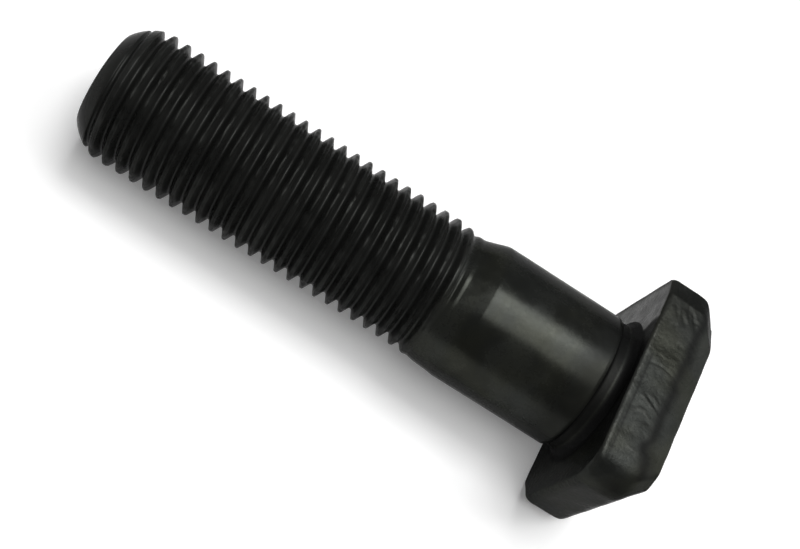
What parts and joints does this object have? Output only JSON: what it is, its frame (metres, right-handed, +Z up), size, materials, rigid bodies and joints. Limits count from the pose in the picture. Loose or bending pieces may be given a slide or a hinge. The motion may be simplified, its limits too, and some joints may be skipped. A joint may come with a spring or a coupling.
{
  "type": "wheel bolt",
  "caption": "Forged wheel bolt: thick oblong head with cut corners, plain shank with a relief groove, cone to a right-hand threaded end with a rounded lead.",
  "frame": {"origin": "on the surface that the bolt lies on, at the middle of its footprint box", "axes": "+X along the bolt towards its threaded tip, Y along the head's long side, +Z up; the bolt's own axis dips 1.71 degrees below +X, because it rests on one long side of its head and its thread's first turns"},
  "size_m": [0.0994, 0.0362, 0.0275],
  "materials": {
    "blackened_steel": "black oxide, satin, with forging marks on the head"
  },
  "bodies": {
    "root": {"wheel_bolt": "blackened_steel"}
  },
  "joints": []
}
